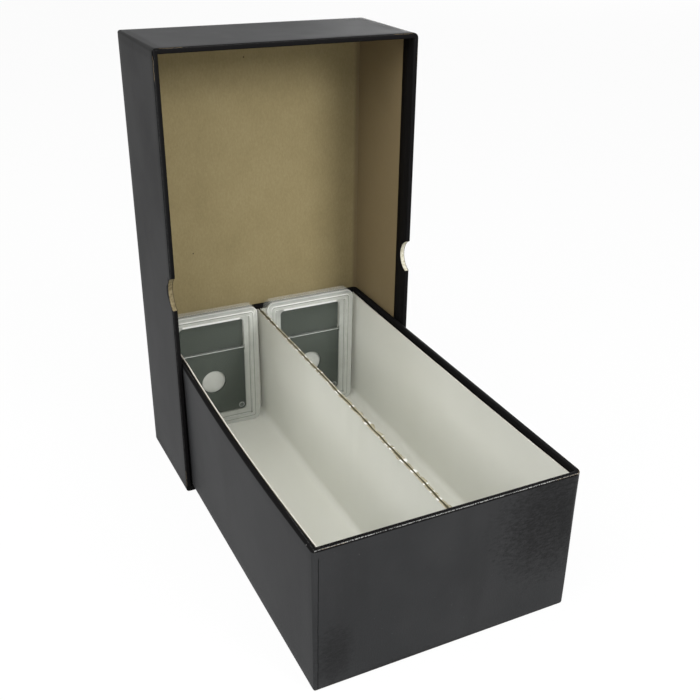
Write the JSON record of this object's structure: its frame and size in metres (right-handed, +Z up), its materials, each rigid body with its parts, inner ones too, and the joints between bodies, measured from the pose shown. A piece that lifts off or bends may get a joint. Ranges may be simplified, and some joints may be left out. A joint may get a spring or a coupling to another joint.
{
  "type": "coin slab storage box",
  "caption": "Paper-covered rigid box in telescoping halves: an open tray with white divided rows and clear coin slabs, its lid stood on end over the rear of the tray.",
  "frame": {"origin": "on the table under the middle of the bounding box", "axes": "+X across the two rows, +Y to the rear where the lid stands, +Z up"},
  "size_m": [0.1548, 0.2596, 0.269],
  "materials": {
    "chipboard": "raw, matte",
    "tape": "matte",
    "cover_paper": "embossed, satin",
    "liner_card": "smooth, matte",
    "clear_plastic": "clear, polished",
    "core": "matte",
    "blank_card": "matte",
    "disc": "satin"
  },
  "bodies": {
    "tray": {"tray_board": "chipboard", "tray_corner_stays": "tape", "tray_wrap": "cover_paper", "tray_bottom_sheet": "cover_paper", "left_liner": "liner_card", "right_liner": "liner_card"},
    "lid": {"lid_board": "chipboard", "lid_corner_stays": "tape", "lid_wrap": "cover_paper", "lid_top_sheet": "cover_paper"},
    "left_slab": {"left_slab_front": "clear_plastic", "left_slab_back": "clear_plastic", "left_core": "core", "left_card": "blank_card", "left_disc": "disc"},
    "right_slab": {"right_slab_front": "clear_plastic", "right_slab_back": "clear_plastic", "right_core": "core", "right_card": "blank_card", "right_disc": "disc"}
  },
  "joints": [
    {"name": "lid_slide", "type": "slide", "parent": "tray", "child": "lid", "axis": [0, 1, 0], "range_m": [0, 0.08]},
    {"name": "left_slab_lift", "type": "slide", "parent": "tray", "child": "left_slab", "axis": [0, -0.0161, 0.9999], "range_m": [0, 0.09]},
    {"name": "right_slab_lift", "type": "slide", "parent": "tray", "child": "right_slab", "axis": [0, -0.0161, 0.9999], "range_m": [0, 0.09]}
  ]
}
